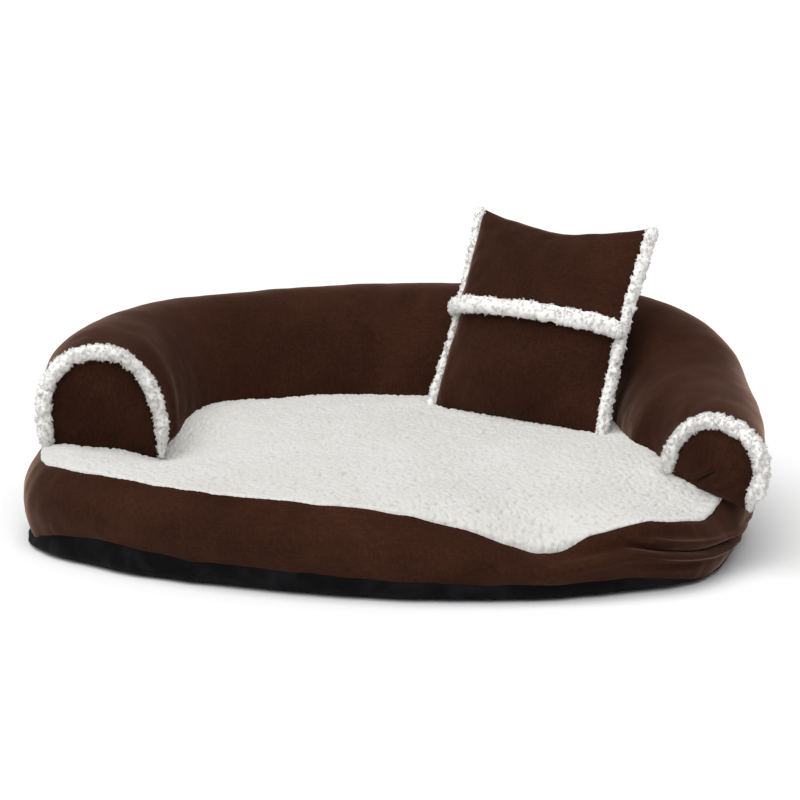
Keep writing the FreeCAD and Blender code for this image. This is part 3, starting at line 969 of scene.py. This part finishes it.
def make_suede():
    nodes = Nodes("brown_suede")
    nap = nodes.noise(16.0, detail=4.0, distortion=0.6)
    colour = nodes.ramp(nap, (0.30, (0.024, 0.0083, 0.0045)), (0.72, (0.043, 0.0155, 0.0088)))
    weave = threads(nodes, 1.1 * MM)
    streaks = nodes.ramp(weave, (0.38, (0.62, 0.62, 0.62)), (0.62, (1.25, 1.22, 1.2)))
    colour = nodes.shade(0.55, colour, streaks)
    fluff = nodes.noise(900.0, detail=2.0)
    normal = nodes.bump(weave, 0.25 * MM, 0.7)
    normal = nodes.bump(fluff, 0.12 * MM, 0.5, normal)
    rough = nodes.math("MULTIPLY_ADD", nap, 0.12, 0.82)
    return nodes.finish(Base_Color=colour, Roughness=rough, Normal=normal, Sheen_Weight=0.5,
                        Sheen_Roughness=0.3, Sheen_Tint=(1.0, 0.64, 0.50, 1.0),
                        Specular_IOR_Level=0.05)


def make_sherpa(name, pale, painted_hollow_shade):
    """Wool with painted shade between its curls: darker the lower a point stands, by the height noted
    on the mesh, and palest at the tops.
    """
    nodes = Nodes(name)
    height = nodes.add("ShaderNodeAttribute", attribute_name="pile_height").outputs["Fac"]
    patches = nodes.noise(22.0, detail=3.0)
    fibres = nodes.noise(1300.0, detail=3.0, roughness=0.7)
    # painted shade: the second colour, at low pile heights, darkens the dips between the curls
    colour = nodes.ramp(height, (0.1, painted_hollow_shade), (0.6, pale))
    mottle = nodes.ramp(patches, (0.35, (0.93, 0.925, 0.91)), (0.7, (1.0, 1.0, 1.0)))
    colour = nodes.shade(0.8, colour, mottle)
    specks = nodes.ramp(fibres, (0.3, (0.86, 0.85, 0.83)), (0.6, (1.0, 1.0, 1.0)))
    colour = nodes.shade(0.6, colour, specks)
    curls = nodes.noise(620.0, detail=2.0, distortion=1.5)
    normal = nodes.bump(curls, 0.45 * MM, 0.7)
    normal = nodes.bump(fibres, 0.2 * MM, 0.5, normal)
    return nodes.finish(Base_Color=colour, Roughness=0.95, Normal=normal, Sheen_Weight=0.4,
                        Sheen_Roughness=0.5, Subsurface_Weight=0.2, Subsurface_Scale=0.001,
                        Subsurface_Radius=(1.0, 0.97, 0.93), Specular_IOR_Level=0.15)


def make_black_cloth():
    nodes = Nodes("black_base_cloth")
    mottle_and_reflection = nodes.noise(26.0, detail=3.0, distortion=0.8)
    # the paler bluish patches are partly the cloth's own mottling and partly a painted reflection of
    # its satin shine; they are also a little glossier
    colour = nodes.ramp(mottle_and_reflection, (0.45, (0.0012, 0.0011, 0.0013)), (0.75, (0.009, 0.008, 0.011)))
    weave = threads(nodes, 0.7 * MM)
    grain = nodes.ramp(weave, (0.4, (0.7, 0.7, 0.7)), (0.6, (1.2, 1.2, 1.2)))
    colour = nodes.shade(0.6, colour, grain)
    normal = nodes.bump(weave, 0.2 * MM, 0.6)
    rough = nodes.math("MULTIPLY_ADD", mottle_and_reflection, -0.2, 0.78)
    return nodes.finish(Base_Color=colour, Roughness=rough, Normal=normal, Specular_IOR_Level=0.08)


def make_floor_material():
    nodes = Nodes("pale_floor")
    return nodes.finish(Base_Color=(0.93, 0.93, 0.93, 1.0), Roughness=0.8, Specular_IOR_Level=0.1)


# ---- stage ----------------------------------------------------------------------------------

CAMERA_LOOK = Vector((0, 0, 0.060))
CAMERA_AZIMUTH = math.radians(12)
CAMERA_ELEVATION = math.radians(13.5)
CAMERA_DISTANCE = 1.8
CAMERA_LENS = 115
CAMERA_SHIFT = 0.046

SUN_DIRECTION = Vector((-0.15, -0.5, 1.0))
SUN_STRENGTH = 2.75
SUN_SPREAD = math.radians(75)
SKY_STRENGTH = 0.42
FLOOR_REACH = 14.0


def make_camera():
    data = bpy.data.cameras.new("camera")
    data.lens = CAMERA_LENS
    data.shift_y = CAMERA_SHIFT
    camera = bpy.data.objects.new("camera", data)
    level = math.cos(CAMERA_ELEVATION)
    back = Vector((math.sin(CAMERA_AZIMUTH) * level, -math.cos(CAMERA_AZIMUTH) * level,
                   math.sin(CAMERA_ELEVATION)))
    camera.location = CAMERA_LOOK + back * CAMERA_DISTANCE
    camera.rotation_euler = (-back).to_track_quat("-Z", "Y").to_euler()
    bpy.context.scene.collection.objects.link(camera)
    bpy.context.scene.camera = camera


def make_sun():
    """A wide, soft light from far off, so that the floor is evenly lit to its edges."""
    data = bpy.data.lights.new("sun", "SUN")
    data.energy = SUN_STRENGTH
    data.angle = SUN_SPREAD
    light = bpy.data.objects.new("sun", data)
    light.rotation_euler = SUN_DIRECTION.to_track_quat("Z", "Y").to_euler()
    bpy.context.scene.collection.objects.link(light)


def make_stage():
    """A wide pale floor, an even sky and one soft sun."""
    corners = [(x * FLOOR_REACH, y * FLOOR_REACH, 0) for x, y in ((-1, -1), (1, -1), (1, 1), (-1, 1))]
    floor = make_object("floor", corners, [(0, 1, 2, 3)], make_floor_material())
    world = bpy.data.worlds.new("studio")
    world.use_nodes = True
    sky = world.node_tree.nodes["Background"]
    sky.inputs["Color"].default_value = (1, 1, 1, 1)
    sky.inputs["Strength"].default_value = SKY_STRENGTH
    bpy.context.scene.world = world
    bpy.context.scene.view_settings.view_transform = "Standard"
    make_sun()


# ---- build ----------------------------------------------------------------------------------

suede = make_suede()
# One wool for seat and trims: the trims' copy is painted paler than the seat's, as painted light for
# the light that their sideways faces miss
seat_sherpa = make_sherpa("sherpa_seat", (0.66, 0.655, 0.635), (0.53, 0.52, 0.50))
trim_sherpa_painted_paler = make_sherpa("sherpa_trim", (0.93, 0.92, 0.905), (0.80, 0.79, 0.77))
black_cloth = make_black_cloth()

make_side_band(suede)
make_bottom(black_cloth)
make_bolster(suede)
make_seat(seat_sherpa)
for arm in ("left", "right"):
    make_end_panel(arm, suede)
    make_arm_trim(arm, trim_sherpa_painted_paler)
make_pillow_trims(*make_pillow(suede), trim_sherpa_painted_paler)

make_stage()
make_camera()
